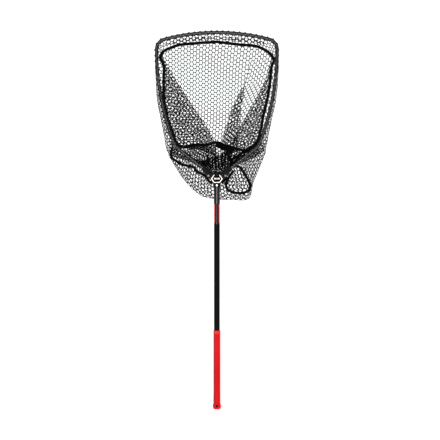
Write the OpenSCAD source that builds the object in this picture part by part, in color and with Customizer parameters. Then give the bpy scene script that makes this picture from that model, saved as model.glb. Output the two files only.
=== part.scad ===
// Landing net with a push-button sliding handle, a rigid hoop and a flat-bottomed rubber mesh bag.
// The handle runs along Z with the butt at the origin, the hoop lies in the XZ plane with its mouth
// towards -Y, and the bag hangs behind it.

/* [Handle] */
// Outside diameter of the handle tube
tube_d = 27; // [26.6:0.1:27]
// Wall of the handle tube
tube_wall = 1.6; // [1.2:0.1:2]
// Height of the tube's top end above the butt
tube_top = 1134; // [1132:1:1140]
// Outside diameter of the grip
grip_d = 32; // [30:0.2:33]
// Height of the grip's top end
grip_top = 377; // [300:1:380]
// Largest diameter of the butt cap
cap_d = 38.4; // [37:0.2:39]

/* [Hoop] */
// Outside diameter of the hoop tube
hoop_d = 16; // [14:0.5:16]
// Wall of the hoop tube
hoop_wall = 1.2; // [1:0.1:1.6]
// Height of the hoop's top centre line
hoop_top = 1807; // [1805:1:1810]
// Radius of the shallow arc across the top
top_r = 994; // [985:1:1005]
// Radius of the two top corners
corner_r = 50; // [46:1:54]
// Radius of the gently bowed sides
side_r = 1250; // [1240:5:1260]
// Slope of the two arms below the horizontal
arm_slope = 38; // [37:0.5:39]

/* [Yoke] */
// Height of the yoke's lower face, where the lock collar starts
yoke_base = 1085; // [1084:1:1086]
// Height of the yoke's upper face
yoke_top = 1128; // [1126:1:1129]
// Length of the guide sleeve below the yoke
sleeve_len = 101; // [80:1:110]
// Diameter of the snap button
button_d = 12; // [10:0.5:12.5]
// Travel of the snap button
button_travel = 5; // [4:0.5:5]

/* [Bag] */
// Thickness of the plain net panels
net_t = 2; // [1.5:0.5:3]
// Depth of the bag behind the hoop plane at its base seam's top
bag_top_y = 62; // [55:1:70]
// Depth of the bag at its base seam's bottom
bag_low_y = 230; // [220:1:240]

/* [Hidden] */
$fn = 64;

fit = 0.05;                       // radial clearance between pieces that fit together
tube_r = tube_d / 2;
tube_in = tube_r - tube_wall;
run_r = tube_r + 0.08;            // bore that slides on the handle tube

// Handle heights
tube_low = 24;
cap_top = 29;
lanyard_z = 16;
lanyard_r = 2.5;
bush_r = 6;
band_z = [895, 986];
gloss_low = 887;
inlay = 0.35;                     // depth of the flush printed inlays
panel_w = 17.6;

// Snap button, with the carrier and the spring pocket inside the tube
button_z = 1073;
button_r = button_d / 2;
button_y = -15.6;
carrier_half = 20;
flange_r = 7.4;
flange_y = -9;
flange_t = 1.5;
pocket_y = 8;

// Yoke
sleeve_low = yoke_base - sleeve_len;
sleeve_r = 14.6;
bush_out = 16;
barrel_r = 19.5;
stop_r = 16.6;
bolt_x = 41;
bolt_z = 1119;
bolt_r = 3;
bolt_head_r = 5.2;
boss_r = 8;
boss_y = 10;
screw_x = 24;
screw_z = 1101;
screw_r = 1.55;
screw_head_r = 2.8;
screw_tip_y = -14;
web_half = 8;
hex_z = 1104;
hex_w = 28.5;
hex_h = 19;
hex_back = -21;
hex_front = -24;
bezel_in = 0.82;                  // size of the bezel's opening against its outline
plate_y = -22.4;
label_y = -23.2;

// Hoop, as a chain of arcs on the right half: heading 0 points to +X and turns are clockwise
hoop_r = hoop_d / 2;
hoop_in = hoop_r - hoop_wall;
top_turn = 14.7;
corner_turn = 90 - top_turn;
side_turn = 21;
bend_r = 70;
arm_heading = -180 + arm_slope;
bend_turn = -90 - side_turn - arm_heading;
arm_end_x = 22;
bow_turn = 7;                     // share of the side arc that belongs to the bow
spigot_turn = 1.4;
socket_r = hoop_r + fit;
socket_out = 11.5;
socket_x = 68;
socket_reach = 44;
rivet_r = 1.8;
rivet_turn = 0.7;

function dir(a) = [cos(a), sin(a)];
function centre_of(p, heading, r) = p + r * [sin(heading), -cos(heading)];
function arc_end(p, heading, r, turn) = centre_of(p, heading, r) + r * dir(heading - turn + 90);

top_p = [0, hoop_top];
corner_p = arc_end(top_p, 0, top_r, top_turn);
side_p = arc_end(corner_p, -top_turn, corner_r, corner_turn);
join_p = arc_end(side_p, -90, side_r, bow_turn);
low_p = arc_end(side_p, -90, side_r, side_turn);
arm_p = arc_end(low_p, -90 - side_turn, bend_r, bend_turn);
arm_len = (arm_p[0] - arm_end_x) / cos(arm_slope);
rivet_places = [for (t = [-rivet_turn, rivet_turn]) arc_end(side_p, -90, side_r, bow_turn + t)];

// Bag outline seen from the front, below the point where it leaves the hoop
bag_inset = 3;
bag_turn = 8;
side_right = [[277, 1480], [267, 1400], [253, 1330], [239, 1276]];
side_left = [[-241, 1276], [-256, 1340], [-268, 1410], [-277, 1480]];
pouch_right = [[217, 1200], [197, 1144], [175, 1090], [157, 1040], [148, 1010]];
pouch_left = [[20, 1008], [-30, 1014], [-68, 1024], [-128, 1078], [-184, 1140], [-208, 1172],
    [-228, 1198]];
hem_y = 9.5;
mouth_y = 17;
pouch_front_y = 21;
step_x = 75;
step_z = 1176;
arm_split_z = 1249;
top_split_z = 1700;
base_high_z = 1775;
base_low_z = 1262;
base_slope = (bag_low_y - bag_top_y) / (base_high_z - base_low_z);
far = 400;
tape_w = 10;
tape_t = 1.6;

// ---- helpers ----

// 2D shapes drawn as (x, z), extruded from y0 to y1
module along_y(y0, y1) {
    translate([0, y1, 0]) rotate([90, 0, 0]) linear_extrude(height = y1 - y0) children();
}

// 2D shapes drawn as (y, z), extruded from x0 to x1
module along_x(x0, x1) {
    translate([x0, 0, 0]) rotate([90, 0, 90]) linear_extrude(height = x1 - x0) children();
}

module rod_y(x, z, r, y0, y1) {
    translate([x, y1, z]) rotate([90, 0, 0]) cylinder(r = r, h = y1 - y0);
}

module ring(r_in, r_out, z0, z1) {
    difference() {
        translate([0, 0, z0]) cylinder(r = r_out, h = z1 - z0);
        translate([0, 0, z0 - 1]) cylinder(r = r_in, h = z1 - z0 + 2);
    }
}

module mirror_pair() {
    children();
    mirror([1, 0, 0]) children();
}

// An arc of tube on the right half, from heading h through a clockwise turn
module hoop_arc(p, h, r, turn, r_out, r_in) {
    c = centre_of(p, h, r);
    rotate([90, 0, 0]) translate([c[0], c[1], 0]) rotate([0, 0, h - turn + 90])
        rotate_extrude(angle = turn) translate([r, 0]) difference() {
            circle(r = r_out);
            circle(r = r_in);
        }
}

module hoop_rod(p, h, len, r) {
    translate([p[0], 0, p[1]]) rotate([0, 90 - h, 0]) cylinder(r = r, h = len);
}

function arc_points(p, h, r, turn, inset, n) =
    let (c = centre_of(p, h, r)) [for (i = [0:n]) c + (r - inset) * dir(h + 90 - turn * i / n)];

// The mirror image of a right half, in running order and without the point on the centre line
function mirrored(pts) = [for (i = [len(pts) - 1:-1:1]) [-pts[i][0], pts[i][1]]];

// Moves each side of a clockwise outline inwards by t
function side_normal(a, b) = let (d = (b - a) / norm(b - a)) [d[1], -d[0]];
function inset_outline(pts, t) = let (n = len(pts)) [for (i = [0:n - 1])
    let (n0 = side_normal(pts[(i + n - 1) % n], pts[i]), n1 = side_normal(pts[i], pts[(i + 1) % n]))
    pts[i] + t * (n0 + n1) / (1 + n0 * n1)];

// ---- handle ----

module handle_tube() {
    color("#1b1b1d") difference() {
        ring(tube_in, tube_r, tube_low, tube_top);
        ring(tube_r - inlay, tube_r + 1, gloss_low, band_z[1]);
        rod_y(0, button_z, button_r + fit, -tube_r - 1, 0);
    }
}

// A thin glossy ring that ends the printed band
module gloss_ring() {
    color("black") ring(tube_r - inlay, tube_r, gloss_low, band_z[0]);
}

module band_window(y0, grow) {
    translate([-panel_w / 2 - grow, y0, band_z[0] - grow])
        cube([panel_w + 2 * grow, 30, band_z[1] - band_z[0] + 2 * grow]);
}

module red_band() {
    color("red") difference() {
        ring(tube_r - inlay, tube_r, band_z[0], band_z[1]);
        band_window(-30, 0);
    }
}

// The plain black panel on the band's front
module band_panel() {
    color("#101618") intersection() {
        ring(tube_r - inlay, tube_r, band_z[0], band_z[1]);
        band_window(-30, 0);
    }
}

module grip() {
    lip_r = grip_d / 2 + 0.5;
    seat_r = tube_r + 0.9;
    color("#d2151c") difference() {
        rotate_extrude() polygon([
            [tube_r + 0.02, cap_top], [lip_r - 0.2, cap_top], [lip_r - 0.2, cap_top + 30],
            [grip_d / 2, cap_top + 55], [grip_d / 2, grip_top - 22], [lip_r, grip_top - 16],
            [lip_r, grip_top - 3], [lip_r - 1, grip_top], [tube_r + 0.02, grip_top]]);
        ring(0, seat_r, grip_top - 5, grip_top + 1);
    }
}

module grip_seal() {
    color("#0c0c0c") ring(tube_r + 0.02, tube_r + 0.85, grip_top - 5, grip_top - 0.8);
}

module end_cap() {
    r = cap_d / 2;
    plug_r = tube_in - fit;
    color("#c8131a") difference() {
        union() {
            rotate_extrude() polygon([
                [0, 0], [11.5, 0], [14.5, 1], [17, 3.5], [r - 0.4, 8], [r, 13], [r - 0.3, 19],
                [r - 1.5, 24], [grip_d / 2 + 0.3, cap_top], [tube_r + 0.1, cap_top],
                [tube_r + 0.1, tube_low - 0.2], [0, tube_low - 0.2]]);
            translate([0, 0, tube_low - 1]) cylinder(r = plug_r, h = 32);
        }
        rod_y(0, lanyard_z, bush_r + fit, -25, 25);
        translate([-2.5, -25, -1]) cube([5, 17, 4]);
    }
}

module lanyard_bush() {
    color("#080808") difference() {
        rod_y(0, lanyard_z, bush_r, -cap_d / 2 - 0.2, cap_d / 2 + 0.2);
        rod_y(0, lanyard_z, lanyard_r, -25, 25);
    }
}

// Keeps the handle from pulling out of the yoke
module top_stop() {
    stop_low = yoke_top + 0.4;
    color("#26262a") difference() {
        union() {
            rotate_extrude() polygon([
                [0, tube_top + 0.05], [tube_r + 0.05, tube_top + 0.05], [tube_r + 0.05, stop_low],
                [stop_r, stop_low], [stop_r, tube_top + 1], [stop_r - 1.2, tube_top + 3.4],
                [12, tube_top + 4.6], [0, tube_top + 4.6]]);
            translate([0, 0, tube_top - 18]) cylinder(r = tube_in - fit, h = 19);
        }
        translate([0, 0, tube_top - 20]) cylinder(r = tube_in - 3, h = 17);
    }
}

module button_carrier() {
    color("#d8d8d2") difference() {
        translate([0, 0, button_z - carrier_half]) cylinder(r = tube_in - fit, h = 2 * carrier_half);
        rod_y(0, button_z, flange_r + 0.3, -15, pocket_y);
    }
}

module snap_button() {
    color("silver") {
        rod_y(0, button_z, button_r, button_y, flange_y);
        rod_y(0, button_z, flange_r, flange_y, flange_y + flange_t);
        translate([0, button_y, button_z]) rotate([90, 0, 0])
            rotate_extrude() polygon([[0, 0], [button_r, 0], [button_r - 0.6, 1.1],
                [button_r - 2, 1.9], [0, 2.3]]);
    }
}

// Compression spring behind the button, swept along its helix
module button_spring() {
    wire_r = 0.45;
    coil_r = 5;
    turns = 6;
    per_turn = 12;
    sides = 8;
    y0 = flange_y + flange_t + wire_r + 0.02;
    y1 = pocket_y - wire_r - 0.02;
    steps = turns * per_turn;
    function at(i, k) =
        let (a = 360 * i / per_turn, b = 360 * k / sides, r = coil_r + wire_r * cos(b))
        [r * cos(a), y0 + (y1 - y0) * i / steps + wire_r * sin(b), button_z + r * sin(a)];
    points = [for (i = [0:steps]) for (k = [0:sides - 1]) at(i, k)];
    walls = [for (i = [0:steps - 1]) for (k = [0:sides - 1])
        [i * sides + k, i * sides + (k + 1) % sides,
            (i + 1) * sides + (k + 1) % sides, (i + 1) * sides + k]];
    ends = [[for (k = [sides - 1:-1:0]) k], [for (k = [0:sides - 1]) steps * sides + k]];
    color("silver") polyhedron(points = points, faces = concat(walls, ends), convexity = 10);
}

// ---- yoke ----

module guide_sleeve() {
    color("#0a0a0a") difference() {
        ring(run_r, sleeve_r, sleeve_low, yoke_base);
        rod_y(0, button_z, button_r + 0.3, -20, 0);
    }
}

module lock_collar() {
    low = yoke_base - 21;
    color("#0c0c0d") difference() {
        rotate_extrude() polygon([[sleeve_r + fit, low], [15.8, low], [16.6, low + 3],
            [18.2, yoke_base], [sleeve_r + fit, yoke_base]]);
        rod_y(0, button_z, button_r + 0.7, -25, 0);
    }
}

// Two bright bars down the collar's sides
module collar_trim() {
    color("#b9aca2") mirror_pair()
        along_y(-3, 3) polygon([[18.4, yoke_base - 1], [20.2, yoke_base - 1],
            [18, yoke_base - 20], [16.9, yoke_base - 19]]);
}

module arm_bore() {
    mirror_pair() hoop_rod(arm_p, arm_heading, arm_len + 0.3, socket_r);
}

module yoke_body() {
    translate([0, 0, yoke_base]) cylinder(r = barrel_r, h = yoke_top - yoke_base);
    mirror_pair() {
        hoop_rod([socket_x, arm_p[1] - (arm_p[0] - socket_x) * tan(arm_slope)], arm_heading,
            socket_reach / cos(arm_slope), socket_out);
        rod_y(bolt_x, bolt_z, boss_r, -boss_y, boss_y);
    }
    along_y(-web_half, web_half) polygon([[-19, yoke_base], [19, yoke_base], [30, 1100], [49, 1114], [72, 1150],
        [62, 1166], [26, 1144], [12, yoke_top], [-12, yoke_top], [-26, 1144], [-62, 1166],
        [-72, 1150], [-49, 1114], [-30, 1100]]);
    along_y(hex_back, 0) polygon(hex_points(1));
}

function hex_points(k) = [[-hex_w * k, hex_z], [-hex_w * k / 2, hex_z + hex_h * k],
    [hex_w * k / 2, hex_z + hex_h * k], [hex_w * k, hex_z],
    [hex_w * k / 2, hex_z - hex_h * k], [-hex_w * k / 2, hex_z - hex_h * k]];

module yoke_cuts() {
    translate([0, 0, yoke_base - 1]) cylinder(r = bush_out + fit, h = yoke_top - yoke_base + 2);
    translate([0, 0, yoke_top]) cylinder(r = stop_r + 0.8, h = 60);
    arm_bore();
    mirror_pair() {
        rod_y(bolt_x, bolt_z, bolt_r + fit, -30, 30);
        rod_y(screw_x, screw_z, screw_r + fit, screw_tip_y - 1, 30);
    }
}

module yoke_front() {
    color("#111113") difference() {
        yoke_body();
        yoke_cuts();
        translate([-100, 0, 1000]) cube([200, 60, 300]);
    }
}

module yoke_rear() {
    color("#0f0f11") difference() {
        yoke_body();
        yoke_cuts();
        translate([-100, -60, 1000]) cube([200, 60.05, 300]);
    }
}

module upper_bush() {
    color("#e6e4dc") ring(run_r, bush_out, yoke_base + 0.2, yoke_top);
}

// Bright six-sided frame, open along its top edge
module hex_bezel() {
    color("silver") along_y(hex_front, hex_back) difference() {
        polygon(hex_points(1));
        polygon(hex_points(bezel_in));
        translate([-hex_w * bezel_in / 2, hex_z]) square([hex_w * bezel_in, hex_h + 1]);
    }
}

module badge_plate() {
    color("black") along_y(plate_y, hex_back) polygon(hex_points(bezel_in - 0.02));
}

// A plain two-tone bar with no lettering
module badge_label() {
    color("#f2d8c6") along_y(label_y, plate_y) translate([-14, hex_z - 3.4]) square([28, 8]);
}

module yoke_bolts() {
    color("#8f8a86") mirror_pair() {
        rod_y(bolt_x, bolt_z, bolt_r, -boss_y, 14.5);
        difference() {
            rod_y(bolt_x, bolt_z, bolt_head_r, -boss_y - 3.6, -boss_y);
            translate([bolt_x, -boss_y - 1.6, bolt_z]) rotate([90, 0, 0])
                cylinder(r = 2.6, h = 3, $fn = 6);
        }
    }
}

module yoke_nuts() {
    color("#8f8a86") mirror_pair() difference() {
        translate([bolt_x, boss_y + 4.4, bolt_z]) rotate([90, 0, 0])
            cylinder(r = 5.6, h = 4.4, $fn = 6);
        rod_y(bolt_x, bolt_z, bolt_r + fit, 0, 30);
    }
}

// Two screws that close the yoke from behind
module yoke_screws() {
    color("#77736f") mirror_pair() {
        rod_y(screw_x, screw_z, screw_r, screw_tip_y, web_half);
        rod_y(screw_x, screw_z, screw_head_r, web_half, web_half + 2.2);
    }
}

// ---- hoop ----

// The bow is the top arc, two corners and the upper sides; each leg is a lower side, a bend and an arm
module hoop_tube(p, h, r, turn) {
    color("#151517") hoop_arc(p, h, r, turn, hoop_r, hoop_in);
}

module hoop_top() {
    hoop_tube(arc_end(top_p, 0, top_r, -top_turn), top_turn, top_r, 2 * top_turn);
}

module hoop_corner() {
    hoop_tube(corner_p, -top_turn, corner_r, corner_turn);
}

module hoop_side_upper() {
    difference() {
        hoop_tube(side_p, -90, side_r, bow_turn);
        rivet_shanks(rivet_r + fit);
    }
}

module hoop_side_lower() {
    difference() {
        hoop_tube(join_p, -90 - bow_turn, side_r, side_turn - bow_turn);
        rivet_shanks(rivet_r + fit);
    }
}

module hoop_bend() {
    hoop_tube(low_p, -90 - side_turn, bend_r, bend_turn);
}

module hoop_arm() {
    color("#151517") difference() {
        hoop_rod(arm_p, arm_heading, arm_len, hoop_r);
        hoop_rod(arm_p - dir(arm_heading), arm_heading, arm_len + 2, hoop_in);
    }
}

// Short inner tube that joins the bow to a leg
module spigot() {
    start = arc_end(side_p, -90, side_r, bow_turn - spigot_turn);
    color("#9a9a9c") difference() {
        hoop_arc(start, -90 - bow_turn + spigot_turn, side_r, 2 * spigot_turn,
            hoop_in - fit, hoop_in - 2);
        rivet_shanks(rivet_r + fit);
    }
}

module left() {
    mirror([1, 0, 0]) children();
}

module rivet_shanks(r) {
    mirror_pair() for (p = rivet_places) rod_y(p[0], p[1], r, -hoop_r - 1, hoop_r + 1);
}

module hoop_rivets() {
    color("#6f6c69") mirror_pair() for (p = rivet_places) {
        rod_y(p[0], p[1], rivet_r, -hoop_r, hoop_r);
        rod_y(p[0], p[1], 3.2, -hoop_r - 0.9, -hoop_r);
        rod_y(p[0], p[1], 3.2, hoop_r, hoop_r + 0.9);
    }
}

// ---- bag ----

function hoop_half(inset, side) = concat(
    arc_points(top_p, 0, top_r, top_turn, inset, 8),
    arc_points(corner_p, -top_turn, corner_r, corner_turn, inset, 6),
    arc_points(side_p, -90, side_r, side, inset, 6));

function base_outline() = concat(side_left, mirrored(hoop_half(bag_inset, bag_turn)),
    hoop_half(bag_inset, bag_turn), side_right);
function bag_outline() = concat(base_outline(), pouch_right, pouch_left);

// The hoop's own opening, down to the corner between the arms
function mouth_half(inset) = concat(hoop_half(inset, side_turn),
    [centre_of(arm_p, arm_heading, inset)]);
function mouth_outline(inset) = concat(mirrored(mouth_half(inset)), mouth_half(inset),
    [[0, arm_p[1] - arm_p[0] * tan(arm_slope) + inset / cos(arm_slope)]]);

function base_y(z) = bag_low_y - (z - base_low_z) * base_slope;
bag_profile = [[hem_y, 1000], [hem_y, 1850], [base_y(1850), 1850], [bag_low_y, base_low_z],
    [bag_low_y - 15, 1110], [bag_low_y - 100, 1000]];

module outline_solid(inset, y0, y1) {
    along_y(y0, y1) polygon(inset_outline(bag_outline(), inset));
}

module profile_solid(inset) {
    along_x(-far, far) polygon(inset_outline(bag_profile, inset));
}

module bag_shell() {
    difference() {
        intersection() {
            outline_solid(0, hem_y, far);
            profile_solid(0);
        }
        difference() {
            intersection() {
                outline_solid(net_t, hem_y + net_t, far);
                profile_solid(net_t);
            }
            translate([-step_x - net_t, 0, 900])
                cube([2 * (step_x + net_t), pouch_front_y + net_t, step_z + net_t - 900]);
        }
        along_y(0, mouth_y) polygon(mouth_outline(hoop_r));
        translate([-step_x, 0, 900]) cube([2 * step_x, pouch_front_y, step_z - 900]);
    }
}

// Keeps what lies between two heights on the given side of the base panel
module between(z0, z1, behind) {
    depth = net_t / cos(atan(base_slope));
    intersection() {
        children();
        translate([-far, 0, z0]) cube([2 * far, far, z1 - z0]);
        along_x(-far, far) polygon(behind
            ? [[base_y(1900) - depth, 1900], [far, 1900], [far, base_low_z], [bag_low_y - depth, base_low_z]]
            : [[0, 900], [0, 1900], [base_y(1900) - depth, 1900], [bag_low_y - depth, base_low_z],
                [far, base_low_z], [far, 900]]);
    }
}

module net_wall_top() {
    color("#222222", 0.7) between(top_split_z, 1900, false) bag_shell();
}

module net_wall_left() {
    color("#252525", 0.7) intersection() {
        between(arm_split_z, top_split_z, false) bag_shell();
        translate([-far, 0, 900]) cube([far, far, 1000]);
    }
}

module net_wall_right() {
    color("#252525", 0.7) intersection() {
        between(arm_split_z, top_split_z, false) bag_shell();
        translate([0, 0, 900]) cube([far, far, 1000]);
    }
}

module net_base() {
    color("#2b2b2b", 0.7) between(base_low_z, 1900, true) bag_shell();
}

module net_pouch() {
    color("#1f1f1f", 0.7) between(900, arm_split_z, false) bag_shell();
}

// Tape sewn over the seam round the base panel
module seam_tape() {
    gap = net_t + 0.4;
    color("black") intersection() {
        along_y(30, far) difference() {
            polygon(inset_outline(base_outline(), gap));
            polygon(inset_outline(base_outline(), gap + tape_w));
        }
        along_x(-far, far) polygon([
            [base_y(1900) - gap - tape_t, 1900], [base_y(1900) - gap, 1900],
            [bag_low_y - gap, base_low_z], [bag_low_y - gap - tape_t, base_low_z]]);
    }
}

module webbing_tab() {
    color("black") translate([38, 200, 1266]) rotate([0, 22, 0]) cube([92, 4, 19], center = true);
}

handle_tube();
gloss_ring();
red_band();
band_panel();
grip();
grip_seal();
end_cap();
lanyard_bush();
top_stop();
button_carrier();
button_spring();
snap_button();
guide_sleeve();
lock_collar();
collar_trim();
yoke_front();
yoke_rear();
upper_bush();
hex_bezel();
badge_plate();
badge_label();
yoke_bolts();
yoke_nuts();
yoke_screws();
hoop_top();
left() hoop_corner();  // hoop_corner_left
hoop_corner();  // hoop_corner_right
left() hoop_side_upper();  // hoop_side_upper_left
hoop_side_upper();  // hoop_side_upper_right
left() hoop_side_lower();  // hoop_side_lower_left
hoop_side_lower();  // hoop_side_lower_right
left() hoop_bend();  // hoop_bend_left
hoop_bend();  // hoop_bend_right
left() hoop_arm();  // hoop_arm_left
hoop_arm();  // hoop_arm_right
left() spigot();  // spigot_left
spigot();  // spigot_right
hoop_rivets();
net_wall_top();
net_wall_left();
net_wall_right();
net_base();
net_pouch();
seam_tape();
webbing_tab();
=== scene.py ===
from math import cos, pi, radians, sin, tan

import bpy
import numpy as np
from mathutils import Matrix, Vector


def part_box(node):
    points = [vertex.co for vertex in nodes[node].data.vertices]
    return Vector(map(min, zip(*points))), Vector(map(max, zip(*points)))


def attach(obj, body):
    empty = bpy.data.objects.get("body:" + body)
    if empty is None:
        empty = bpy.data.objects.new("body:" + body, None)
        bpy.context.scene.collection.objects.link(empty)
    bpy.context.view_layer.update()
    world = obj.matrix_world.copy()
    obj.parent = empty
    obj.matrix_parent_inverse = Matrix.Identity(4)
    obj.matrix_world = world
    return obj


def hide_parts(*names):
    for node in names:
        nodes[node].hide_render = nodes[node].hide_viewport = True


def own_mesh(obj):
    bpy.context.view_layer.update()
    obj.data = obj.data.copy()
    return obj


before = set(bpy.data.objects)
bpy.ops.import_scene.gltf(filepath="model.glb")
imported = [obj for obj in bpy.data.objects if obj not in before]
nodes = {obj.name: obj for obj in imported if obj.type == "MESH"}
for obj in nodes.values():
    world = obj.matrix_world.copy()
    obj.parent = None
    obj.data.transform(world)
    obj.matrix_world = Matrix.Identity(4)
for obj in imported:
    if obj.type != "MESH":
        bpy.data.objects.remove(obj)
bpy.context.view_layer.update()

# ---------------------------------------------------------------- sizes, in metres
top_low, top_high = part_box("hoop_top")
HOOP_R = (top_high.y - top_low.y) / 2
HOOP_TOP = top_high.z - HOOP_R
TOP_RADIUS = 0.994
CORNER_RADIUS = 0.05
SIDE_RADIUS = 1.25
BEND_RADIUS = 0.07
TOP_TURN = 14.7
SIDE_TURN = 21.0
ARM_SLOPE = 38.0
ARM_END_X = 0.022

GRIP_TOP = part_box("grip")[1].z

# The cell of the hexagonal net: a level strand, then two slanting ones
LEVEL = 0.0113
SLANT_X = 0.00385
ROW = 0.0106
PITCH = 2 * (LEVEL + SLANT_X)
STRAND_R = 0.0011
ROUNDING_ROOM = 1.3  # strands start thicker by this, because subdivision shrinks them

# The base panel's plane
BASE_LOW_Y = 0.230
BASE_LOW_Z = 1.262
BASE_SLOPE = 0.3275

TAPE_W = 0.014
TAPE_T = 0.0032


# ---------------------------------------------------------------- curves and surfaces
def unit(v):
    return v / np.maximum(np.linalg.norm(v, axis=-1, keepdims=True), 1e-9)


def along(points):
    """Distance of each point along the line through them."""
    steps = np.linalg.norm(np.diff(points, axis=0), axis=-1)
    return np.concatenate([[0.0], np.cumsum(steps)])


def smooth(points, knots, t):
    """A smooth curve through points, which lie at the rising values knots, read at the values t."""
    points = np.asarray(points, float)
    shape = (-1,) + (1,) * (points.ndim - 1)
    gaps = np.diff(knots).reshape(shape)
    slopes = np.diff(points, axis=0) / gaps
    tangents = np.empty_like(points)
    tangents[1:-1] = (slopes[:-1] * gaps[1:] + slopes[1:] * gaps[:-1]) / (gaps[1:] + gaps[:-1])
    tangents[0] = slopes[0]
    tangents[-1] = slopes[-1]
    i = np.clip(np.searchsorted(knots, t, side="right") - 1, 0, len(points) - 2)
    h = gaps[i]
    u = ((t - knots[i]) / (knots[i + 1] - knots[i])).reshape(shape)
    return (
        (2 * u**3 - 3 * u**2 + 1) * points[i]
        + (u**3 - 2 * u**2 + u) * h * tangents[i]
        + (3 * u**2 - 2 * u**3) * points[i + 1]
        + (u**3 - u**2) * h * tangents[i + 1]
    )


def evenly(points, count):
    """count points at even distances on the smooth curve through points."""
    points = np.asarray(points, float)
    knots = along(points)
    fine = smooth(points, knots, np.linspace(0, knots[-1], 30 * len(points)))
    length = along(fine)
    even = np.linspace(0, length[-1], count)
    return np.stack([np.interp(even, length, fine[:, axis]) for axis in range(3)], 1)


def arc(start, heading, radius, turn, count):
    """Points of a clockwise arc in the XZ plane; heading 0 points to +X."""
    start = np.array(start)
    centre = start + radius * np.array([sin(radians(heading)), -cos(radians(heading))])
    angles = np.radians(heading + 90 - turn * np.linspace(0, 1, count + 1)[1:])
    return list(centre + radius * np.stack([np.cos(angles), np.sin(angles)], 1))


def hoop_half():
    """The right half of the hoop's centre line, from the top centre to the arm's end, as (x, z)."""
    line = [np.array([0.0, HOOP_TOP])]
    line += arc(line[-1], 0, TOP_RADIUS, TOP_TURN, 24)
    line += arc(line[-1], -TOP_TURN, CORNER_RADIUS, 90 - TOP_TURN, 14)
    line += arc(line[-1], -90, SIDE_RADIUS, SIDE_TURN, 40)
    line += arc(line[-1], -90 - SIDE_TURN, BEND_RADIUS, 90 - SIDE_TURN - ARM_SLOPE, 8)
    x, z = line[-1]
    line.append(np.array([ARM_END_X, z - (x - ARM_END_X) * tan(radians(ARM_SLOPE))]))
    return np.array(line)


HALF = hoop_half()
HALF_AT = along(HALF)


def on_hoop(side, distance, back=0.0):
    """The point of the hoop at that distance from its top centre; side is -1 for left, 1 for right."""
    x = np.interp(distance, HALF_AT, HALF[:, 0])
    z = np.interp(distance, HALF_AT, HALF[:, 1])
    return np.stack([side * x, 0 * x + back, z], -1)


def base_y(z):
    return BASE_LOW_Y - (z - BASE_LOW_Z) * BASE_SLOPE


def on_base(x, z, front=0.0):
    return (x, base_y(z) - front, z)


# ---------------------------------------------------------------- mesh building
def new_object(name, vertices, faces, material, body="net_frame", flat=False):
    mesh = bpy.data.meshes.new(name)
    mesh.from_pydata([tuple(map(float, v)) for v in vertices], [], faces)
    mesh.validate()
    mesh.polygons.foreach_set("use_smooth", [not flat] * len(mesh.polygons))
    mesh.materials.append(material)
    mesh.update()
    obj = bpy.data.objects.new(name, mesh)
    bpy.context.scene.collection.objects.link(obj)
    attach(obj, body)
    return obj


def subdivide(obj, levels=1):
    modifier = obj.modifiers.new("Rounding", "SUBSURF")
    modifier.levels = levels
    modifier.render_levels = levels
    return obj


def sweep(path, section, up, closed=False):
    """Vertices and faces of a section swept along path. up is a direction, or one for each point."""
    path = np.asarray(path, float)
    count, sides = len(path), len(section)
    if closed:
        tangent = unit(np.roll(path, -1, 0) - np.roll(path, 1, 0))
    else:
        tangent = unit(np.gradient(path, axis=0))
    up = np.broadcast_to(np.asarray(up, float), path.shape)
    side = unit(np.cross(tangent, up))
    over = unit(np.cross(side, tangent))
    section = np.asarray(section, float)
    rings = path[:, None] + section[None, :, :1] * side[:, None] + section[None, :, 1:] * over[:, None]
    last = count if closed else count - 1
    faces = [
        (i * sides + k, i * sides + (k + 1) % sides, (i + 1) % count * sides + (k + 1) % sides,
         (i + 1) % count * sides + k)
        for i in range(last) for k in range(sides)
    ]
    if not closed:
        faces += [tuple(range(sides))[::-1], tuple((count - 1) * sides + k for k in range(sides))]
    return rings.reshape(-1, 3), faces


def joined(parts):
    """Several (vertices, faces) as one."""
    vertices, faces, start = [], [], 0
    for v, f in parts:
        vertices.append(np.asarray(v, float))
        faces += [tuple(start + i for i in face) for face in f]
        start += len(v)
    return np.concatenate(vertices), faces


def round_section(radius, sides=6):
    return [(radius * cos(2 * pi * k / sides), radius * sin(2 * pi * k / sides)) for k in range(sides)]


def tape_section(width, thick):
    w, t = width / 2, thick / 2
    return [(w, 0), (0.85 * w, t), (0.3 * w, t), (-0.3 * w, t), (-0.85 * w, t), (-w, 0),
            (-0.85 * w, -t), (-0.3 * w, -t), (0.3 * w, -t), (0.85 * w, -t)]


# ---------------------------------------------------------------- materials
def material(name, colour, roughness, metallic=0.0, specular=0.5, coat=0.0):
    made = bpy.data.materials.new(name)
    made.use_nodes = True
    shader = made.node_tree.nodes["Principled BSDF"]
    shader.inputs["Base Color"].default_value = (*colour, 1)
    shader.inputs["Roughness"].default_value = roughness
    shader.inputs["Metallic"].default_value = metallic
    shader.inputs["Specular IOR Level"].default_value = specular
    shader.inputs["Coat Weight"].default_value = coat
    return made


def add_node(made, kind, settings=(), **inputs):
    node = made.node_tree.nodes.new(kind)
    for key, value in dict(settings).items():
        setattr(node, key, value)
    for key, value in inputs.items():
        node.inputs[key.replace("_", " ")].default_value = value
    return node


def link(made, source, target):
    made.node_tree.links.new(source, target)


def stretched_noise(made, scale, stretch=(1, 1, 1), detail=4.0):
    """Noise in the object's own coordinates, finer along the axes with a larger stretch."""
    where = add_node(made, "ShaderNodeTexCoord")
    mapping = add_node(made, "ShaderNodeMapping")
    mapping.inputs["Scale"].default_value = stretch
    noise = add_node(made, "ShaderNodeTexNoise", Scale=scale, Detail=detail)
    link(made, where.outputs["Object"], mapping.inputs["Vector"])
    link(made, mapping.outputs["Vector"], noise.inputs["Vector"])
    return noise.outputs["Fac"]


def shader_of(made):
    return made.node_tree.nodes["Principled BSDF"]


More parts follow.
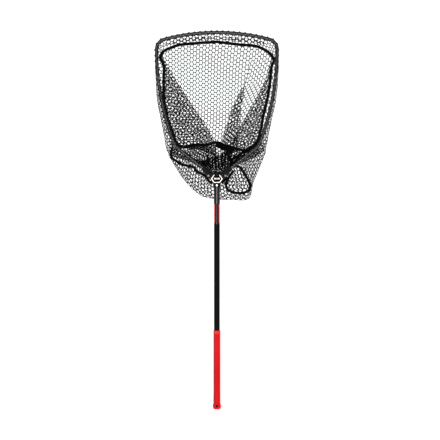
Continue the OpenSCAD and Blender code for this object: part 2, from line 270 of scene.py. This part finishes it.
def vary_colour(made, factor, dark, light, low=0.3, high=0.7):
    ramp = add_node(made, "ShaderNodeValToRGB")
    ramp.color_ramp.elements[0].position = low
    ramp.color_ramp.elements[1].position = high
    ramp.color_ramp.elements[0].color = (*dark, 1)
    ramp.color_ramp.elements[1].color = (*light, 1)
    link(made, factor, ramp.inputs["Fac"])
    link(made, ramp.outputs["Color"], shader_of(made).inputs["Base Color"])


def vary_roughness(made, factor, low, high):
    span = add_node(made, "ShaderNodeMapRange", To_Min=low, To_Max=high)
    link(made, factor, span.inputs["Value"])
    link(made, span.outputs["Result"], shader_of(made).inputs["Roughness"])


def bump(made, height, distance, strength=1.0):
    node = add_node(made, "ShaderNodeBump", Distance=distance, Strength=strength)
    link(made, height, node.inputs["Height"])
    link(made, node.outputs["Normal"], shader_of(made).inputs["Normal"])


def rubber_mesh():
    made = material("rubber_mesh", (0.008, 0.0075, 0.0075), 0.6, specular=0.1)
    grain = stretched_noise(made, 900)
    vary_colour(made, stretched_noise(made, 40), (0.005, 0.0045, 0.0045), (0.012, 0.011, 0.0105))
    bump(made, grain, 0.0002, 0.6)
    return made


def woven_tape():
    made = material("woven_tape", (0.01, 0.01, 0.01), 0.85, specular=0.06)
    where = add_node(made, "ShaderNodeTexCoord")
    ribs = add_node(made, "ShaderNodeTexWave", {"wave_type": "BANDS", "bands_direction": "DIAGONAL"},
                    Scale=420.0, Distortion=1.2, Detail=2.0)
    link(made, where.outputs["Object"], ribs.inputs["Vector"])
    vary_colour(made, ribs.outputs["Fac"], (0.003, 0.003, 0.003), (0.009, 0.009, 0.0095), 0.2, 0.9)
    bump(made, ribs.outputs["Fac"], 0.0003, 0.7)
    return made


def anodised(name, dark, light, rough, specular=0.2):
    made = material(name, dark, rough, specular=specular)
    vary_colour(made, stretched_noise(made, 60, (1, 1, 0.04), 6), dark, light, 0.35, 0.7)
    vary_roughness(made, stretched_noise(made, 240, (1, 1, 0.06)), rough - 0.06, rough + 0.08)
    bump(made, stretched_noise(made, 1400, (1, 1, 0.05)), 0.00005, 0.4)
    return made


def paint(name, colour, shade, rough, coat=0.3):
    made = material(name, colour, rough, coat=coat)
    shader_of(made).inputs["Coat Roughness"].default_value = 0.15
    vary_colour(made, stretched_noise(made, 90), shade, colour)
    bump(made, stretched_noise(made, 700), 0.00006, 0.5)
    return made


def grip_rubber():
    made = material("grip_rubber", (0.84, 0.012, 0.016), 0.6, specular=0.2)
    blotch = stretched_noise(made, 22, (1, 1, 0.35))
    vary_colour(made, blotch, (0.74, 0.007, 0.010), (0.88, 0.014, 0.020))
    bump(made, stretched_noise(made, 1500), 0.00025, 0.7)
    return made


def lighten_between(made, low, high, colour):
    """Blends towards another colour where the object is between two heights, in metres."""
    shader = shader_of(made)
    before = shader.inputs["Base Color"].links[0].from_socket
    where = add_node(made, "ShaderNodeTexCoord")
    apart = add_node(made, "ShaderNodeSeparateXYZ")
    rise = add_node(made, "ShaderNodeMapRange", From_Min=low, From_Max=high)
    mix = add_node(made, "ShaderNodeMixRGB")
    mix.inputs["Color2"].default_value = (*colour, 1)
    link(made, where.outputs["Object"], apart.inputs["Vector"])
    link(made, apart.outputs["Z"], rise.inputs["Value"])
    link(made, rise.outputs["Result"], mix.inputs["Fac"])
    link(made, before, mix.inputs["Color1"])
    link(made, mix.outputs["Color"], shader.inputs["Base Color"])
    return made


def plain(name, colour, rough, metallic=0.0, specular=0.5, grain=300, depth=0.0001):
    made = material(name, colour, rough, metallic, specular)
    shade = tuple(0.75 * c for c in colour)
    vary_colour(made, stretched_noise(made, 60), shade, colour)
    vary_roughness(made, stretched_noise(made, 180), max(rough - 0.08, 0.03), rough + 0.08)
    bump(made, stretched_noise(made, grain), depth, 0.5)
    return made


MESH = rubber_mesh()
TAPE = woven_tape()
LOOKS = {
    "handle_tube": anodised("tube_finish", (0.006, 0.005, 0.005), (0.010, 0.008, 0.008), 0.5, 0.12),
    "gloss_ring": paint("gloss_black", (0.005, 0.005, 0.005), (0.003, 0.003, 0.003), 0.12, 0.4),
    "red_band": paint("band_red", (0.95, 0.035, 0.025), (0.88, 0.028, 0.020), 0.28),
    "band_panel": paint("band_black", (0.003, 0.006, 0.006), (0.002, 0.004, 0.004), 0.25, 0.15),
    "grip": lighten_between(grip_rubber(), GRIP_TOP - 0.018, GRIP_TOP - 0.014, (1.0, 0.06, 0.06)),
    "grip_seal": plain("black_rubber", (0.01, 0.01, 0.01), 0.75, grain=900),
    "end_cap": grip_rubber(),
    "lanyard_bush": plain("bush_rubber", (0.004, 0.004, 0.004), 0.7, grain=900),
    "top_stop": plain("moulded_black", (0.008, 0.008, 0.008), 0.5, specular=0.2, grain=1200),
    "button_carrier": plain("white_nylon", (0.72, 0.71, 0.68), 0.45),
    "button_spring": plain("spring_steel", (0.55, 0.55, 0.56), 0.25, 1.0),
    "snap_button": plain("button_metal", (0.95, 0.95, 0.94), 0.3, 1.0, grain=600, depth=0.00004),
    "guide_sleeve": paint("sleeve_gloss", (0.004, 0.004, 0.004), (0.003, 0.003, 0.003), 0.12, 1.0),
    "lock_collar": plain("collar_black", (0.005, 0.005, 0.005), 0.38, specular=0.2, grain=1200),
    "collar_trim": plain("trim_metal", (0.30, 0.25, 0.22), 0.35, 1.0),
    "yoke_front": plain("yoke_moulding", (0.005, 0.005, 0.005), 0.42, specular=0.2, grain=1500, depth=0.00015),
    "yoke_rear": plain("yoke_moulding_rear", (0.005, 0.005, 0.005), 0.48, specular=0.2, grain=1500, depth=0.00015),
    "upper_bush": plain("bush_nylon", (0.70, 0.69, 0.66), 0.45),
    "hex_bezel": plain("bezel_metal", (0.50, 0.49, 0.48), 0.34, 1.0, grain=500, depth=0.00003),
    "badge_plate": plain("badge_black", (0.003, 0.003, 0.003), 0.5, specular=0.05),
    "yoke_bolts": plain("bolt_metal", (0.20, 0.17, 0.15), 0.4, 1.0),
    "yoke_nuts": plain("nut_metal", (0.36, 0.34, 0.33), 0.35, 1.0),
    "yoke_screws": plain("screw_metal", (0.32, 0.31, 0.30), 0.35, 1.0),
    "hoop_rivets": plain("rivet_metal", (0.20, 0.19, 0.19), 0.4, 1.0),
}


def label_print():
    """A pale bar that runs from white at its ends to orange in its middle, with no lettering."""
    made = material("label_print", (0.85, 0.75, 0.68), 0.35)
    where = add_node(made, "ShaderNodeTexCoord")
    apart = add_node(made, "ShaderNodeSeparateXYZ")
    middle = add_node(made, "ShaderNodeMath", {"operation": "ABSOLUTE"})
    span = add_node(made, "ShaderNodeMapRange", From_Max=0.014)
    link(made, where.outputs["Object"], apart.inputs["Vector"])
    link(made, apart.outputs["X"], middle.inputs[0])
    link(made, middle.outputs[0], span.inputs["Value"])
    vary_colour(made, span.outputs["Result"], (0.86, 0.48, 0.30), (0.94, 0.88, 0.83), 0.15, 0.6)
    bump(made, stretched_noise(made, 900), 0.00003, 0.4)
    return made


def finish_cad_nodes():
    hoop_finish = anodised("hoop_finish", (0.004, 0.004, 0.004), (0.008, 0.008, 0.008), 0.22, 0.9)
    bare = plain("bare_aluminium", (0.62, 0.62, 0.63), 0.35, 1.0)
    LOOKS["badge_label"] = label_print()
    for name, obj in nodes.items():
        if name.startswith("hoop_") and name != "hoop_rivets":
            LOOKS[name] = hoop_finish
        if name.startswith("spigot_"):
            LOOKS[name] = bare
        if name in LOOKS:
            for place in obj.material_slots:
                place.material = LOOKS[name]


# ---------------------------------------------------------------- the net
def lattice(x0, x1, y0, y1):
    """Flat knots and strands of the hexagonal net that covers a rectangle."""
    columns = range(int(x0 // PITCH) - 1, int(x1 // PITCH) + 2)
    rows = range(int(y0 // ROW) - 1, int(y1 // ROW) + 2)
    index, knots = {}, []
    for j in rows:
        for k in columns:
            for end in (0, 1):
                index[j, k, end] = len(knots)
                knots.append((k * PITCH + end * LEVEL + (j % 2) * PITCH / 2, j * ROW))
    strands = []
    for (j, k, end), here in index.items():
        if end == 0:
            strands.append((here, index[j, k, 1]))
        step = end if j % 2 else end - 1
        above = (j + 1, k + step, 1 - end)
        if above in index:
            strands.append((here, index[above]))
    return np.array(knots), np.array(strands)


class Surface:
    """A curved surface through a net of control points, measured along (s) and across (w) in metres."""

    ALONG = 300
    ACROSS = 160

    def __init__(self, stations, rail=1):
        stations = np.asarray(stations, float)
        knots = along(stations[:, rail])
        self.length = knots[-1]
        self.s = np.linspace(0, self.length, self.ALONG)
        rows = smooth(stations, knots, self.s)
        self.grid = np.stack([evenly(row, self.ACROSS) for row in rows])
        self.widths = np.linalg.norm(np.diff(self.grid, axis=1), axis=2).sum(1)

    def width(self, s):
        return np.interp(s, self.s, self.widths)

    def at(self, s, w):
        f = np.clip(s / self.length, 0, 1) * (self.ALONG - 1)
        g = np.clip(w / self.width(s), 0, 1) * (self.ACROSS - 1)
        i = np.clip(f.astype(int), 0, self.ALONG - 2)
        j = np.clip(g.astype(int), 0, self.ACROSS - 2)
        a = (f - i)[:, None]
        b = (g - j)[:, None]
        near = self.grid[i, j] * (1 - a) + self.grid[i + 1, j] * a
        far = self.grid[i, j + 1] * (1 - a) + self.grid[i + 1, j + 1] * a
        return near * (1 - b) + far * b

    def normal(self, s, w):
        d = 0.002
        ds = self.at(s + d, w) - self.at(s - d, w)
        dw = self.at(s, w + d) - self.at(s, w - d)
        return unit(np.cross(ds, dw))


def net_on(surface, squeeze=1.0):
    """Knots, strands, flat places and normals of a net that lies on a surface."""
    flat, strands = lattice(0, surface.length, 0, surface.widths.max() / squeeze)
    flat[:, 1] *= squeeze
    inside = (flat[:, 0] >= 0) & (flat[:, 0] <= surface.length)
    inside &= (flat[:, 1] >= 0) & (flat[:, 1] <= surface.width(flat[:, 0]))
    strands = strands[inside[strands].any(1)]
    s = np.clip(flat[:, 0], 0, surface.length)
    w = np.clip(flat[:, 1], 0, surface.width(s))
    return surface.at(s, w), strands, flat, surface.normal(s, w)


def tidy_net(knots, strands, flat, normals, shortest=0.003):
    """Drops strands that the edge has cut very short, and knots that no strand uses."""
    length = np.linalg.norm(knots[strands[:, 0]] - knots[strands[:, 1]], axis=1)
    strands = strands[length > shortest]
    used = np.unique(strands)
    renumber = np.full(len(knots), -1)
    renumber[used] = np.arange(len(used))
    return knots[used], renumber[strands], flat[used], normals[used]


def strand_mesh(knots, strands, flat, normals, radius):
    """One mesh of four-sided strands that share their corners at each knot, before it is rounded."""
    around = [[] for _ in knots]
    for a, b in strands:
        around[a].append(b)
        around[b].append(a)
    vertices, faces, top, left, right = [], [], {}, {}, {}
    for i, others in enumerate(around):
        turn = flat[others] - flat[i]
        others = [others[k] for k in np.argsort(np.arctan2(turn[:, 1], turn[:, 0]))]
        n = normals[i]
        top[i] = len(vertices)
        vertices += [knots[i] + radius * n, knots[i] - radius * n]
        ways = unit(knots[others] - knots[i])
        lefts = unit(np.cross(n, ways))
        if len(others) == 1:
            left[i, others[0]] = len(vertices)
            right[i, others[0]] = len(vertices) + 1
            vertices += [knots[i] + radius * lefts[0], knots[i] - radius * lefts[0]]
            continue
        for k, other in enumerate(others):
            following = others[(k + 1) % len(others)]
            crotch = lefts[k] - lefts[(k + 1) % len(others)]
            size = max(float(crotch @ crotch), 0.8)
            left[i, other] = right[i, following] = len(vertices)
            vertices.append(knots[i] + 2 * radius * crotch / size)
    for a, b in strands:
        near = (top[a], left[a, b], top[a] + 1, right[a, b])
        far = (top[b], right[b, a], top[b] + 1, left[b, a])
        if normals[a] @ normals[b] < 0:
            far = far[2:] + far[:2]
        faces += [(near[k], far[k], far[k - 3], near[k - 3]) for k in range(4)]
    for i, others in enumerate(around):
        if len(others) == 1:
            faces.append((top[i], left[i, others[0]], top[i] + 1, right[i, others[0]]))
    return np.array(vertices), faces


def net_piece(name, net, replaced):
    vertices, faces = strand_mesh(*tidy_net(*net), STRAND_R * ROUNDING_ROOM)
    obj = subdivide(new_object(name, vertices, faces, MESH))
    if replaced:
        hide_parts(*replaced)
    return obj


# Each wall station: distance along the hoop from its top centre, then the wall's outer bulge, its
# inward crease, the fold behind it, and its edge on the base seam
LEFT_WALL = [
    (0.11, (-0.110, 0.022, 1.768), (-0.110, 0.035, 1.790), (-0.105, 0.055, 1.762), (-0.105, 1.765)),
    (0.21, (-0.210, 0.025, 1.755), (-0.210, 0.040, 1.775), (-0.210, 0.060, 1.745), (-0.210, 1.750)),
    (0.285, (-0.275, 0.025, 1.745), (-0.275, 0.045, 1.735), (-0.270, 0.065, 1.725), (-0.272, 1.712)),
    (0.35, (-0.295, 0.035, 1.690), (-0.255, 0.070, 1.685), (-0.260, 0.080, 1.680), (-0.263, 1.672)),
    (0.45, (-0.296, 0.045, 1.590), (-0.197, 0.095, 1.588), (-0.235, 0.115, 1.595), (-0.261, 1.605)),
    (0.55, (-0.290, 0.055, 1.490), (-0.131, 0.120, 1.487), (-0.205, 0.140, 1.500), (-0.262, 1.515)),
    (0.65, (-0.272, 0.065, 1.395), (-0.073, 0.140, 1.402), (-0.165, 0.165, 1.405), (-0.244, 1.412)),
    (0.73, (-0.255, 0.070, 1.310), (-0.032, 0.150, 1.336), (-0.125, 0.185, 1.335), (-0.220, 1.340)),
    (0.80, (-0.240, 0.070, 1.240), (-0.011, 0.160, 1.291), (-0.110, 0.205, 1.280), (-0.190, 1.276)),
    (0.88, (-0.140, 0.080, 1.195), (0.000, 0.150, 1.235), (-0.065, 0.205, 1.250), (-0.120, 1.275)),
    (0.94, (-0.060, 0.090, 1.165), (0.010, 0.140, 1.185), (0.000, 0.200, 1.225), (-0.060, 1.284)),
]
RIGHT_WALL = [
    (0.11, (0.110, 0.022, 1.765), (0.110, 0.035, 1.787), (0.110, 0.055, 1.757), (0.110, 1.759)),
    (0.21, (0.205, 0.025, 1.755), (0.205, 0.040, 1.775), (0.205, 0.060, 1.743), (0.203, 1.748)),
    (0.285, (0.275, 0.025, 1.745), (0.270, 0.045, 1.735), (0.265, 0.065, 1.725), (0.260, 1.715)),
    (0.35, (0.295, 0.035, 1.690), (0.262, 0.080, 1.690), (0.268, 0.090, 1.687), (0.279, 1.684)),
    (0.45, (0.296, 0.045, 1.590), (0.242, 0.095, 1.600), (0.250, 0.110, 1.605), (0.263, 1.605)),
    (0.55, (0.287, 0.055, 1.490), (0.196, 0.115, 1.513), (0.222, 0.140, 1.515), (0.250, 1.510)),
    (0.65, (0.267, 0.065, 1.395), (0.143, 0.140, 1.418), (0.185, 0.165, 1.420), (0.228, 1.415)),
    (0.73, (0.250, 0.070, 1.315), (0.103, 0.150, 1.347), (0.160, 0.190, 1.345), (0.215, 1.345)),
    (0.80, (0.237, 0.070, 1.255), (0.077, 0.160, 1.296), (0.130, 0.205, 1.290), (0.195, 1.290)),
    (0.88, (0.140, 0.080, 1.195), (0.030, 0.150, 1.240), (0.080, 0.205, 1.245), (0.120, 1.260)),
    (0.94, (0.060, 0.090, 1.165), (-0.020, 0.140, 1.180), (0.010, 0.200, 1.210), (0.050, 1.275)),
]
TOP_SEAM = (0.0, 1.772)
RIGHT_PINCH = (0.270, 1.666)
LEFT_PINCH = (-0.275, 1.694)

# The pleat in the base panel: a height, then the places of its left and its right fold
PLEAT = [(1.262, 0.012, 0.103), (1.370, 0.041, 0.114), (1.470, 0.076, 0.124), (1.570, 0.130, 0.143),
         (1.640, 0.150, 0.156), (1.690, 0.162, 0.162), (1.800, 0.162, 0.162)]
SLACK = 0.86  # share of its width that the panel keeps to the right of the pleat
LAYER_GAP = 0.003
FLAT_PLEAT = 0.004  # a narrower pleat lies in one layer

# Each pouch station: where it hangs from, its front, its lowest fold, its back, and the base seam
POUCH = [
    ((-1, 0.76), (-0.230, 0.040, 1.245), (-0.235, 0.070, 1.220), (-0.220, 0.130, 1.245), (-0.190, 1.276)),
    ((-1, 0.85), (-0.190, 0.050, 1.190), (-0.196, 0.080, 1.155), (-0.175, 0.150, 1.200), (-0.145, 1.275)),
    ((-1, 0.90), (-0.145, 0.055, 1.130), (-0.149, 0.090, 1.089), (-0.130, 0.160, 1.165), (-0.100, 1.280)),
    ((-1, 0.95), (-0.088, 0.060, 1.090), (-0.080, 0.100, 1.027), (-0.070, 0.175, 1.125), (-0.045, 1.285)),
    ((-0.030, 0.026, 1.145),
     (-0.025, 0.060, 1.075), (-0.010, 0.105, 1.010), (0.000, 0.180, 1.115), (0.000, 1.294)),
    ((0.030, 0.026, 1.145),
     (0.045, 0.060, 1.070), (0.070, 0.110, 1.006), (0.060, 0.180, 1.115), (0.050, 1.275)),
    ((1, 0.95), (0.095, 0.060, 1.090), (0.152, 0.100, 1.008), (0.115, 0.175, 1.125), (0.093, 1.264)),
    ((1, 0.90), (0.150, 0.060, 1.120), (0.176, 0.090, 1.087), (0.150, 0.160, 1.165), (0.135, 1.256)),
    ((1, 0.85), (0.185, 0.050, 1.180), (0.202, 0.080, 1.149), (0.175, 0.150, 1.200), (0.165, 1.264)),
    ((1, 0.76), (0.232, 0.040, 1.265), (0.239, 0.070, 1.240), (0.224, 0.130, 1.255), (0.194, 1.288)),
]

# The slack gathered behind the yoke, in folds from the base seam down to the arms
GATHER = [
    [(-0.160, 0.215, 1.275), (-0.155, 0.150, 1.238), (-0.158, 0.120, 1.245), (-0.150, 0.090, 1.232),
     (-0.152, 0.070, 1.238), (-0.145, 0.030, 1.222)],
    [(-0.105, 0.215, 1.275), (-0.100, 0.140, 1.195), (-0.105, 0.170, 1.206), (-0.095, 0.090, 1.185),
     (-0.100, 0.100, 1.200), (-0.090, 0.030, 1.180)],
    [(-0.055, 0.215, 1.280), (-0.045, 0.130, 1.160), (-0.060, 0.180, 1.210), (-0.040, 0.090, 1.150),
     (-0.050, 0.120, 1.200), (-0.045, 0.030, 1.145)],
    [(0.000, 0.215, 1.290), (0.010, 0.130, 1.150), (0.000, 0.180, 1.230), (0.012, 0.090, 1.140),
     (0.005, 0.120, 1.215), (0.000, 0.040, 1.130)],
    [(0.045, 0.215, 1.280), (0.050, 0.130, 1.160), (0.050, 0.180, 1.245), (0.045, 0.090, 1.150),
     (0.048, 0.120, 1.220), (0.040, 0.030, 1.140)],
    [(0.095, 0.215, 1.262), (0.095, 0.140, 1.200), (0.105, 0.170, 1.225), (0.090, 0.090, 1.188),
     (0.100, 0.110, 1.205), (0.085, 0.030, 1.178)],
    [(0.150, 0.215, 1.255), (0.150, 0.150, 1.240), (0.150, 0.120, 1.238), (0.145, 0.090, 1.228),
     (0.140, 0.060, 1.225), (0.135, 0.030, 1.220)],
]


def wall_stations(side, rows):
    start = on_hoop(side, 0.0, HOOP_R)
    edge = np.array(on_base(*TOP_SEAM))
    stations = [[start, (0, 0.022, 1.776), (0, 0.035, 1.794), (0, 0.055, 1.768), edge]]
    for distance, bulge, crease, fold, seam in rows:
        stations.append([on_hoop(side, distance, HOOP_R), bulge, crease, fold, on_base(*seam)])
    return stations


def pouch_stations():
    return [
        [on_hoop(*hang, HOOP_R) if len(hang) == 2 else hang, front, low, back, on_base(*seam)]
        for hang, front, low, back, seam in POUCH
    ]


def base_seam():
    """The closed line of the base panel's seam, clockwise from the top centre."""
    right = [row[-1] for row in RIGHT_WALL[:9]]
    bottom = [row[-1] for row in POUCH[8:0:-1]]
    left = [row[-1] for row in LEFT_WALL[:9]]
    right.insert(4, RIGHT_PINCH)
    left.insert(3, LEFT_PINCH)
    return [on_base(*p) for p in [TOP_SEAM, *right, *bottom, *left[::-1], TOP_SEAM]]


def inside_line(line, points):
    """Which points lie inside a closed line, both as (x, z)."""
    x, z = points.T
    inside = np.zeros(len(points), bool)
    for (ax, az), (bx, bz) in zip(line, np.roll(line, -1, 0)):
        crosses = (az > z) != (bz > z)
        if az != bz:
            inside ^= crosses & (x < (bx - ax) * (z - az) / (bz - az) + ax)
    return inside


def pleated(x, z):
    """Where a place of the flat panel goes across it once pleated, and on which of the pleat's layers."""
    heights, lefts, rights = np.array(PLEAT).T
    left = np.interp(z, heights, lefts)
    right = np.interp(z, heights, rights)
    beyond = left + (x - 2 * right + left) * SLACK
    layer = (x > right).astype(int) + (x > 2 * right - left)
    return np.choose(layer, [x, 2 * right - x, beyond]), layer * (right - left > FLAT_PLEAT)


def base_net():
    """The panel across the back of the bag, with a pleat on its right."""
    slope = (1 + BASE_SLOPE**2) ** 0.5
    line = evenly(base_seam(), 240)[:, [0, 2]]
    flat, strands = lattice(-0.3, 0.6, -0.1, 0.6)
    sway = 0.006 * np.sin(9 * flat[:, 1] + 5 * flat[:, 0] + 0.6)
    z = BASE_LOW_Z + (flat[:, 1] + 0.8 * sway - 0.05 * flat[:, 0]) / slope
    x, layer = pleated(flat[:, 0] + sway + 0.06 * (flat[:, 1] - 0.25), z)
    place = np.stack([x, z], 1)
    inside = inside_line(line, place)
    strands = strands[inside[strands].any(1)]
    for a, b in strands:
        if inside[a] != inside[b]:
            kept, moved = (a, b) if inside[a] else (b, a)
            place[moved] = nearest(line, place[kept], place[moved])
    x, z = place.T
    knots = np.stack([x, base_y(z) - LAYER_GAP * layer, z], 1)
    facing = np.where(layer == 1, -1.0, 1.0)[:, None]
    return knots, strands, flat, facing * unit(np.array([0.0, -1.0, -BASE_SLOPE]))


def nearest(line, start, end):
    """The point of the line closest to the middle of a strand that crosses it."""
    middle = (start + end) / 2
    return line[np.argmin(((line - middle) ** 2).sum(1))]


def make_net():
    left = Surface(wall_stations(-1, LEFT_WALL))
    right = Surface(wall_stations(1, RIGHT_WALL))
    pouch = Surface(pouch_stations())
    net_piece("left_wall_mesh", net_on(left, 0.85), ["net_wall_left", "net_wall_top"])
    net_piece("right_wall_mesh", net_on(right, 0.9), ["net_wall_right"])
    net_piece("pouch_mesh", net_on(pouch), ["net_pouch"])
    net_piece("gathered_mesh", net_on(Surface(GATHER), 0.85), [])
    net_piece("base_mesh", base_net(), ["net_base"])


# ---------------------------------------------------------------- seams and edges
def tape(name, routes, width=TAPE_W, thick=TAPE_T, up=(0, -1, -0.33), closed=False):
    parts = []
    for route in routes:
        route = np.array(route, float)
        count = max(8, int(along(route)[-1] / 0.004))
        path = evenly(route, count)
        parts.append(sweep(path[:-1] if closed else path, tape_section(width, thick), up, closed))
    return new_object(name, *joined(parts), TAPE)


LOWER_LEFT_LOOP = [(-0.213, 0.030, 1.262), (-0.222, 0.050, 1.225), (-0.215, 0.060, 1.205),
                   (-0.196, 0.062, 1.193), (-0.172, 0.064, 1.178), (-0.145, 0.066, 1.171),
                   (-0.112, 0.066, 1.163), (-0.098, 0.064, 1.142), (-0.072, 0.060, 1.131),
                   (-0.052, 0.050, 1.116), (-0.040, 0.035, 1.096), (-0.024, 0.028, 1.084)]
LOWER_RIGHT_LOOP = [(0.068, 0.045, 1.172), (0.106, 0.055, 1.166), (0.130, 0.064, 1.138),
                    (0.153, 0.072, 1.098), (0.162, 0.078, 1.076), (0.157, 0.080, 1.056),
                    (0.138, 0.080, 1.042), (0.106, 0.078, 1.038), (0.072, 0.074, 1.045),
                    (0.050, 0.070, 1.058), (0.044, 0.066, 1.078), (0.053, 0.060, 1.104),
                    (0.080, 0.050, 1.146)]
SMALL_SEAMS = [
    [(-0.048, 0.205, 1.232), (-0.046, 0.190, 1.200), (-0.044, 0.175, 1.176)],
    [(0.047, 0.215, 1.248), (0.056, 0.205, 1.230), (0.066, 0.195, 1.208)],
    [(0.187, 0.060, 1.247), (0.160, 0.070, 1.243), (0.130, 0.075, 1.237), (0.101, 0.078, 1.218),
     (0.070, 0.080, 1.200)],
    [(0.022, 0.030, 1.088), (0.036, 0.040, 1.098), (0.052, 0.050, 1.112)],
]


def make_seams():
    seam = tape("seam_tape_loop", [base_seam()], closed=True)
    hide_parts("seam_tape")
    lower = tape("gusset_seams", [LOWER_LEFT_LOOP, LOWER_RIGHT_LOOP, *SMALL_SEAMS], width=0.013)


def make_edge_lacing():
    """The mesh's edge strands, wound both ways round the hoop tube from one arm to the other."""
    turn_length = 0.027
    strand_r = 0.0013
    last = 0.96
    steps = 20
    distance = np.linspace(-last, last, int(2 * last / turn_length * steps))
    line = np.where(distance[:, None] < 0, on_hoop(-1, abs(distance)), on_hoop(1, abs(distance)))
    forward = unit(np.gradient(line, axis=0))
    outward = np.cross(forward, (0, 1, 0))
    back = np.array([0, 1, 0])
    parts = []
    for hand in (-1, 1):
        angle = hand * 2 * pi * distance / turn_length
        away = np.cos(angle)[:, None] * outward + np.sin(angle)[:, None] * back
        radius = HOOP_R + strand_r * (1.0 if hand > 0 else 1.9)
        parts.append(sweep(line + radius * away, round_section(strand_r), away))
    lacing = new_object("edge_lacing", *joined(parts), MESH)


def make_tab():
    """A folded webbing tab sewn across the base seam."""
    low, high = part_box("webbing_tab")
    middle = (low + high) / 2
    tilt = radians(22)
    lengthwise = Vector((cos(tilt), 0, -sin(tilt)))
    half = 0.046
    path = [middle + lengthwise * t * half + Vector((0, 0.002 * cos(3 * t), 0)) for t in np.linspace(-1, 1, 15)]
    parts = []
    for offset in (-0.0011, 0.0011):
        layer = [p + Vector((0, offset, 0)) for p in path]
        parts.append(sweep(layer, tape_section(0.026, 0.0019), (0, -1, -0.33)))
    tab = new_object("webbing_tab_layers", *joined(parts), TAPE)
    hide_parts("webbing_tab")


def make_spring():
    """The snap button's coil spring."""
    low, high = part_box("button_spring")
    wire_r = 0.00045
    middle = (low + high) / 2
    coil_r = (high.x - low.x) / 2 - wire_r
    turns = 6
    t = np.linspace(0, 1, turns * 24 + 1)
    angle = 2 * pi * turns * t
    depth = low.y + wire_r + (high.y - low.y - 2 * wire_r) * t
    axis = np.stack([0 * t + middle.x, depth, 0 * t + middle.z], 1)
    path = axis + coil_r * np.stack([np.cos(angle), 0 * t, np.sin(angle)], 1)
    spring = new_object("coil_spring", *sweep(path, round_section(wire_r, 8), path - axis),
                        LOOKS["button_spring"], "handle")
    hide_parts("button_spring")
    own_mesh(spring)


# ---------------------------------------------------------------- stage
def make_stage():
    floor_material = material("pale_floor", (0.80, 0.80, 0.80), 0.9, specular=0.05)
    shader_of(floor_material).inputs["Emission Color"].default_value = (1, 1, 1, 1)
    shader_of(floor_material).inputs["Emission Strength"].default_value = 0.6
    depth, rise, bend = 8.0, 8.0, 2.0
    profile = [(-8.0, 0.0), (depth - bend, 0.0)]
    profile += [(depth - bend + bend * sin(a), bend - bend * cos(a)) for a in np.linspace(0.1, pi / 2, 14)]
    profile += [(depth, rise)]
    half = 9.0
    vertices = [(x, y, z) for y, z in profile for x in (-half, half)]
    faces = [(2 * i, 2 * i + 1, 2 * i + 3, 2 * i + 2) for i in range(len(profile) - 1)]
    mesh = bpy.data.meshes.new("studio_floor")
    mesh.from_pydata(vertices, [], faces)
    mesh.polygons.foreach_set("use_smooth", [True] * len(mesh.polygons))
    mesh.materials.append(floor_material)
    floor = bpy.data.objects.new("studio_floor", mesh)
    bpy.context.scene.collection.objects.link(floor)


def add_area_light(name, place, target, size, power):
    data = bpy.data.lights.new(name, "AREA")
    data.shape = "RECTANGLE"
    data.size, data.size_y = size
    data.energy = power
    light = bpy.data.objects.new(name, data)
    light.location = place
    light.visible_camera = False
    light.rotation_euler = (Vector(target) - Vector(place)).to_track_quat("-Z", "Y").to_euler()
    bpy.context.scene.collection.objects.link(light)


def make_lights():
    world = bpy.data.worlds.new("studio")
    world.use_nodes = True
    world.node_tree.nodes["Background"].inputs["Color"].default_value = (1, 1, 1, 1)
    world.node_tree.nodes["Background"].inputs["Strength"].default_value = 0.4
    bpy.context.scene.world = world
    middle = (0, 0, 1.0)
    add_area_light("front_softbox", (-0.3, -6.0, 1.6), middle, (2.2, 3.0), 120)
    add_area_light("key", (-1.6, -3.6, 3.0), middle, (1.0, 1.0), 8)


def make_camera():
    distance = 5.5
    view_width = 2.112
    centre_x, centre_z = 0.015, 0.907
    data = bpy.data.cameras.new("camera")
    data.sensor_width = 36.0
    data.lens = data.sensor_width * distance / view_width
    data.clip_end = 50
    camera = bpy.data.objects.new("camera", data)
    camera.location = (centre_x, -distance, centre_z)
    camera.rotation_euler = (pi / 2, 0, 0)
    bpy.context.scene.collection.objects.link(camera)
    bpy.context.scene.camera = camera
    bpy.context.scene.view_settings.view_transform = "Standard"
    bpy.context.scene.view_settings.gamma = 0.85


make_camera()
make_lights()
make_stage()
finish_cad_nodes()
make_net()
make_seams()
make_edge_lacing()
make_tab()
make_spring()
